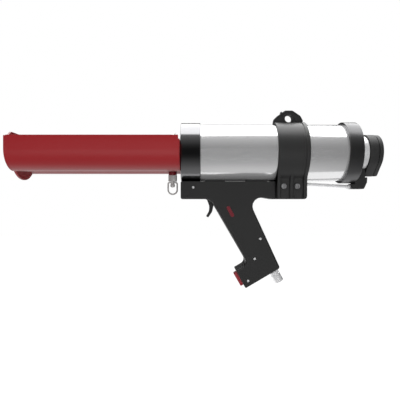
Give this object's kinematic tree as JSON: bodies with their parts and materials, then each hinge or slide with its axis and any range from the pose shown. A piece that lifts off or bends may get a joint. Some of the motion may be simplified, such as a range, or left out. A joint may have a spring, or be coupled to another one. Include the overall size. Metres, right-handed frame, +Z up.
{
  "type": "caulking gun",
  "caption": "Air-powered two-component caulking gun: side-by-side cartridge carrier, air cylinder with twin push rods, pistol grip with trigger, hanger eye and regulator knob.",
  "frame": {"origin": "centre of the hanger eye on top of the strap clamp, on the gun's middle plane", "axes": "+X from the muzzle to the back, along the cylinder; +Y to the right-hand side of a user, along the eye's bore; +Z up"},
  "size_m": [0.6008, 0.1328, 0.2962],
  "materials": {
    "brushed_tube": "fine brushed, clear",
    "gloss_black_cap": "gloss black coating",
    "grey_cap": "dark grey satin coating",
    "red_steel": "red powder coat",
    "dark_red_steel": "red powder coat, welded",
    "black_plastic": "fine moulded texture",
    "strap_plastic": "moulded, slight sheen",
    "red_plastic": "moulded red",
    "white_plastic": "moulded, waxy",
    "zinc_steel": "zinc plated",
    "polished_steel": "ground and plated",
    "dark_steel": "black oxide",
    "spring_steel": "drawn wire",
    "brass": "turned",
    "bronze": "sintered, matt",
    "rubber": "matt",
    "hose_plastic": "drawn tube"
  },
  "bodies": {
    "gun": {"barrel_tube": "brushed_tube", "front_cap": "gloss_black_cap", "rear_cap": "grey_cap", "cap_seals": "rubber", "rod_bushes": "brass", "rod_seals": "rubber", "carrier_trough": "red_steel", "front_plate": "red_steel", "rear_plate": "red_steel", "dock_tongue": "zinc_steel", "plunger_boss": "dark_red_steel", "plunger_bush": "zinc_steel", "lock_spring": "spring_steel", "casing_left": "black_plastic", "casing_right": "black_plastic", "casing_screws": "zinc_steel", "cap_screw": "zinc_steel", "saddle_pads": "rubber", "strap_clamp": "strap_plastic", "strap_bolts": "dark_steel", "strap_nuts": "dark_steel", "trigger_pin": "zinc_steel", "valve_body": "brass", "valve_spring": "spring_steel", "grip_tube": "hose_plastic", "outlet_tube": "hose_plastic", "outlet_manifold": "zinc_steel", "air_tube": "polished_steel", "tube_nut": "zinc_steel", "rear_elbow": "black_plastic", "elbow_screws": "dark_steel", "rear_collar": "zinc_steel", "inlet_fitting": "polished_steel", "inlet_seal": "rubber", "exhaust_muffler": "bronze", "button_spring": "spring_steel", "button_valve": "brass", "grip_inlays": "red_plastic"},
    "piston": {"piston": "brushed_tube", "piston_seals": "rubber", "piston_rods": "polished_steel", "rod_nuts": "zinc_steel", "plunger_discs": "white_plastic", "disc_screws": "zinc_steel"},
    "lock_pin": {"lock_pin": "polished_steel"},
    "pull_ring": {"pull_ring": "polished_steel"},
    "trigger": {"trigger": "black_plastic"},
    "valve_stem": {"valve_stem": "polished_steel"},
    "reverse_button": {"reverse_button": "red_plastic"},
    "knob": {"knob": "black_plastic", "knob_cap": "black_plastic", "knob_screw": "dark_steel", "regulator_spindle": "zinc_steel"}
  },
  "joints": [
    {"name": "piston_slide", "type": "slide", "parent": "gun", "child": "piston", "axis": [-1, 0, 0], "range_m": [0, 0.215]},
    {"name": "trigger_pull", "type": "hinge", "parent": "gun", "child": "trigger", "pos_m": [-0.1314, 0, -0.1179], "axis": [0, -1, 0], "range_deg": [0, 12], "stiffness_Nm_per_rad": 2, "springref_deg": -5.73},
    {"name": "valve_push", "type": "slide", "parent": "gun", "child": "valve_stem", "axis": [1, 0, 0], "range_m": [0, 0.0029], "deforming": ["valve_spring"]},
    {"name": "lock_pull", "type": "slide", "parent": "gun", "child": "lock_pin", "axis": [0, 0, -1], "range_m": [0, 0.006], "stiffness_N_per_m": 600, "springref_m": -0.008, "deforming": ["lock_spring"]},
    {"name": "ring_swing", "type": "hinge", "parent": "lock_pin", "child": "pull_ring", "pos_m": [-0.1958, 0, -0.1079], "axis": [0.9781, 0.2079, 0], "range_deg": [-60, 60]},
    {"name": "button_push", "type": "slide", "parent": "gun", "child": "reverse_button", "axis": [0.866, 0, 0.5], "range_m": [0, 0.003], "stiffness_N_per_m": 900, "springref_m": -0.003, "deforming": ["button_spring"]},
    {"name": "knob_turn", "type": "hinge", "parent": "gun", "child": "knob", "pos_m": [0.1356, 0, -0.0579], "axis": [1, 0, 0], "range_deg": [-135, 135]}
  ],
  "couplings": [
    {"joint": "valve_push", "follows": "trigger_pull", "m_per_rad": 0.0137}
  ]
}
